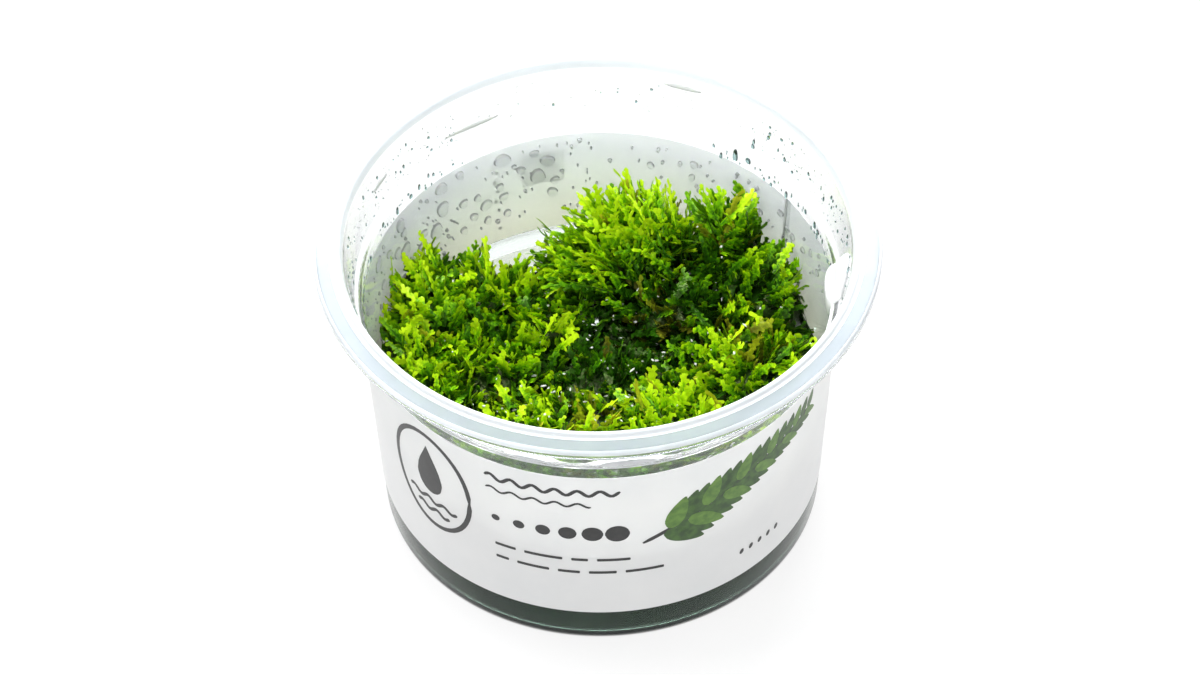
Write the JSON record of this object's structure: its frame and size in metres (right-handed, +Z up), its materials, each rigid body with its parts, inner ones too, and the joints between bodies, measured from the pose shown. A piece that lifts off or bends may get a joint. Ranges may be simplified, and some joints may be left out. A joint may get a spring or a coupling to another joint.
{
  "type": "coral moss in an open culture cup",
  "caption": "Tufts of flat, branching liverwort on clear gel in a round, open, clear plastic cup with a lid flange and a wrapped label.",
  "frame": {"origin": "on the table, under the middle of the cup", "axes": "+Z up through the cup's mouth, -Y to the front of the cup, +X to the right"},
  "size_m": [0.101, 0.101, 0.0623],
  "materials": {
    "cup": "clear, slightly milky moulded plastic",
    "label": "satin white film",
    "nutrient_gel": "clear wet gel",
    "moss_left": "wet green thallus",
    "moss_tall": "wet green thallus",
    "moss_right": "wet green thallus",
    "moss_front": "wet green thallus"
  },
  "bodies": {
    "root": {"cup": "cup", "label": "label", "nutrient_gel": "nutrient_gel", "moss_left": "moss_left", "moss_tall": "moss_tall", "moss_right": "moss_right", "moss_front": "moss_front"}
  },
  "joints": []
}
